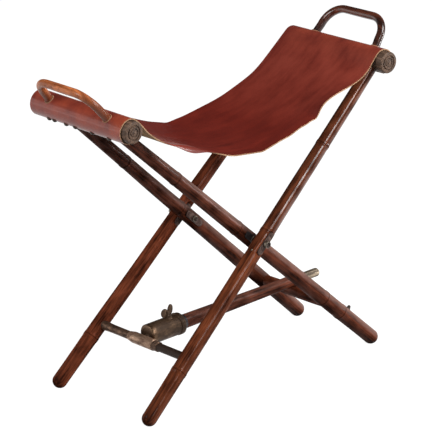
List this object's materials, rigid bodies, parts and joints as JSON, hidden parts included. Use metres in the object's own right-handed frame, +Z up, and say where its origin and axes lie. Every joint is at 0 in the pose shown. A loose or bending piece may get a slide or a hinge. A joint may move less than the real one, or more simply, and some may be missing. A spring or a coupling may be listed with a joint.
{
  "type": "folding hunting stool",
  "caption": "Folding hunting stool: crossed cane legs on pivots, a leather sling between two rails with hand grips, and a hinged brace with a clamping thumb screw.",
  "frame": {"origin": "on the floor, below the pivots, in the middle of the stool", "axes": "+X from the left rail to the right rail, the way the stool opens; +Y along the rails from the near side to the far side; +Z up"},
  "size_m": [0.6756, 0.2658, 0.5829],
  "materials": {
    "dark_cane": "dark stained cane, polished by use",
    "warm_cane": "red-brown stained cane, polished by use",
    "pale_bentwood": "orange-tan bentwood, varnished",
    "rail_wood": "weathered grey-brown turned wood",
    "leather": "deep red-brown saddle leather, worn glossy",
    "iron": "browned iron",
    "bronze": "dull dark bronze",
    "brass": "worn brass"
  },
  "bodies": {
    "outer_frame": {"outer_leg_near": "warm_cane", "outer_leg_far": "dark_cane", "right_seat_rail": "rail_wood", "right_hand_grip": "dark_cane", "seat_sling": "leather", "iron_cross_rod": "iron", "sleeve_stop_ring": "iron", "pivot_bolt_near": "iron", "pivot_nut_near": "iron", "pivot_washer_near": "iron", "outer_strap_plate_near": "iron", "outer_wear_plate_near": "iron", "pivot_bolt_far": "iron", "pivot_nut_far": "iron", "pivot_washer_far": "iron", "outer_strap_plate_far": "iron", "outer_wear_plate_far": "iron", "right_tack_1": "iron", "right_tack_2": "iron", "right_tack_3": "iron", "right_tack_4": "iron", "right_tack_5": "iron", "right_tack_6": "iron"},
    "inner_frame": {"inner_leg_near": "dark_cane", "inner_leg_far": "dark_cane", "left_seat_rail": "rail_wood", "left_hand_grip": "pale_bentwood", "wood_stretcher": "dark_cane", "leg_stud": "iron", "inner_strap_plate_near": "iron", "inner_wear_plate_near": "iron", "inner_strap_plate_far": "iron", "inner_wear_plate_far": "iron", "left_tack_1": "iron", "left_tack_2": "iron", "left_tack_3": "iron", "left_tack_4": "iron", "left_tack_5": "iron", "left_tack_6": "iron"},
    "brace_swing": {"rod_sleeve": "iron", "brace_socket": "bronze"},
    "brace_bar": {"brace_rod": "dark_cane", "brace_tip": "brass"},
    "thumb_screw": {"thumb_screw": "bronze"}
  },
  "joints": [
    {"name": "frame_fold", "type": "hinge", "parent": "outer_frame", "child": "inner_frame", "pos_m": [0, 0, 0.2564], "axis": [0, 1, 0], "range_deg": [0, 84], "deforming": ["seat_sling"]},
    {"name": "brace_lift", "type": "hinge", "parent": "outer_frame", "child": "brace_swing", "pos_m": [-0.1758, 0, 0.0945], "axis": [0, -1, 0], "range_deg": [0, 43]},
    {"name": "brace_slide", "type": "slide", "parent": "brace_swing", "child": "brace_bar", "axis": [0.9992, 0, 0.0401], "range_m": [0, 0.04]},
    {"name": "thumb_screw_turn", "type": "hinge", "parent": "brace_swing", "child": "thumb_screw", "pos_m": [-0.1205, 0, 0.12574], "axis": [-0.0401, 0, 0.9992], "range_deg": [0, 360]}
  ]
}
